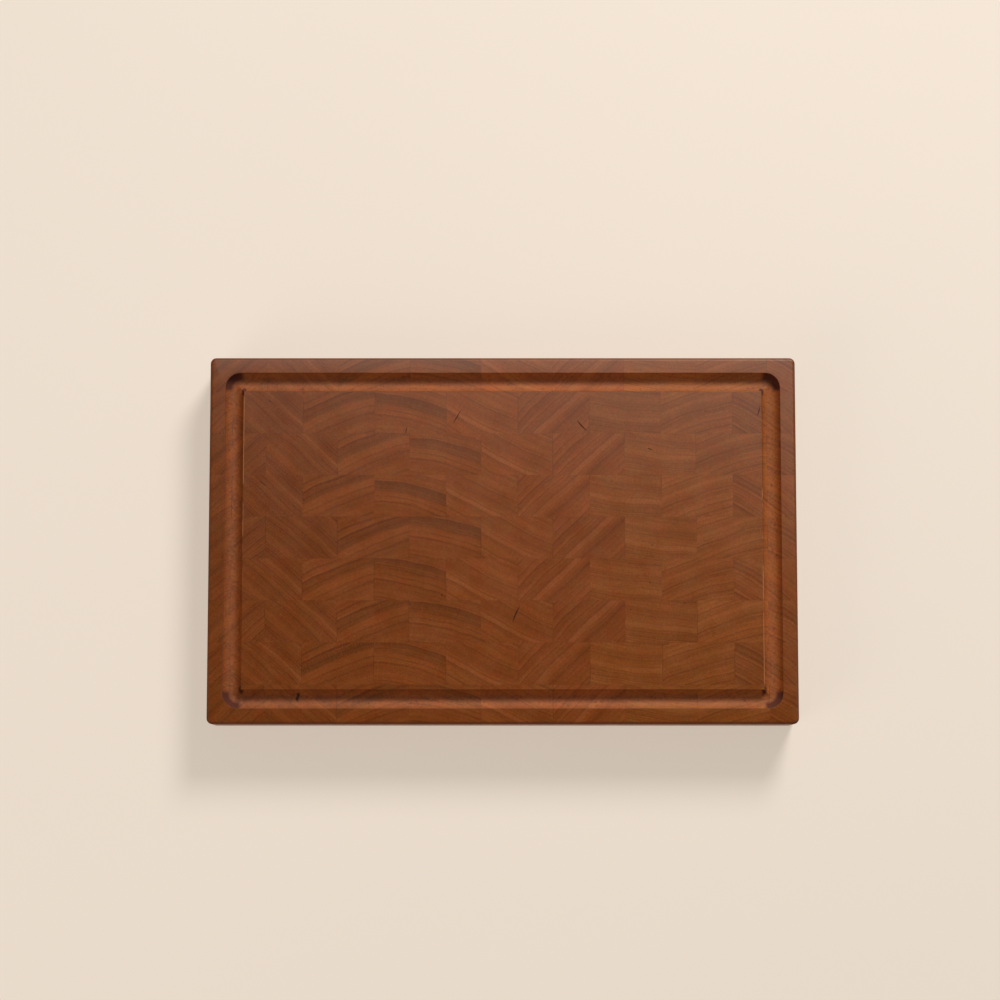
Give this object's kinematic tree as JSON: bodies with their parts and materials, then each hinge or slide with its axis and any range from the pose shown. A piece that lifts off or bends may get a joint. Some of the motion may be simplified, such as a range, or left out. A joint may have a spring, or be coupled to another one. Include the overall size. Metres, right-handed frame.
{
  "type": "cutting board",
  "caption": "Rectangular end-grain cutting board of oiled cherry blocks in a staggered brick pattern, with a round-bottomed juice groove around its face.",
  "frame": {"origin": "under the middle of the board, on the surface it lies on", "axes": "+X along the board's length, +Y across its width towards the edge that is uppermost when it leans, +Z through its thickness, out of the grooved face"},
  "size_m": [0.4064, 0.254, 0.038],
  "materials": {
    "stave_1": "oiled satin",
    "stave_2": "oiled satin",
    "stave_3": "oiled satin",
    "stave_4": "oiled satin",
    "stave_5": "oiled satin",
    "stave_6": "oiled satin",
    "stave_7": "oiled satin",
    "stave_8": "oiled satin",
    "stave_9": "oiled satin"
  },
  "bodies": {
    "root": {"row_1_blocks_1_2": "stave_2", "row_1_blocks_3_4": "stave_3", "row_1_block_5": "stave_5", "row_1_blocks_6_7": "stave_6", "row_1_blocks_8_9": "stave_8", "row_2_blocks_1_2": "stave_2", "row_2_block_3": "stave_3", "row_2_block_4": "stave_4", "row_2_block_5": "stave_5", "row_2_block_6": "stave_6", "row_2_block_7": "stave_7", "row_2_blocks_8_9": "stave_8", "row_3_blocks_1_2": "stave_2", "row_3_block_3": "stave_3", "row_3_block_4": "stave_4", "row_3_block_5": "stave_5", "row_3_block_6": "stave_6", "row_3_block_7": "stave_7", "row_3_blocks_8_9": "stave_8", "row_4_blocks_1_2": "stave_2", "row_4_block_3": "stave_3", "row_4_block_4": "stave_4", "row_4_block_5": "stave_5", "row_4_block_6": "stave_6", "row_4_block_7": "stave_7", "row_4_blocks_8_9": "stave_8", "row_5_blocks_1_2": "stave_2", "row_5_block_3": "stave_3", "row_5_block_4": "stave_4", "row_5_block_5": "stave_5", "row_5_block_6": "stave_6", "row_5_block_7": "stave_7", "row_5_blocks_8_9": "stave_8", "row_6_blocks_1_2": "stave_2", "row_6_block_3": "stave_3", "row_6_block_4": "stave_4", "row_6_block_5": "stave_5", "row_6_block_6": "stave_6", "row_6_block_7": "stave_7", "row_6_blocks_8_9": "stave_8", "row_7_blocks_1_2": "stave_2", "row_7_block_3": "stave_3", "row_7_block_4": "stave_4", "row_7_block_5": "stave_5", "row_7_block_6": "stave_6", "row_7_block_7": "stave_7", "row_7_blocks_8_9": "stave_8", "row_8_blocks_1_2": "stave_2", "row_8_block_3": "stave_3", "row_8_block_4": "stave_4", "row_8_block_5": "stave_5", "row_8_block_6": "stave_6", "row_8_block_7": "stave_7", "row_8_blocks_8_9": "stave_8", "row_9_blocks_1_2": "stave_2", "row_9_blocks_3_4": "stave_3", "row_9_block_5": "stave_5", "row_9_blocks_6_7": "stave_6", "row_9_blocks_8_9": "stave_8"}
  },
  "joints": []
}
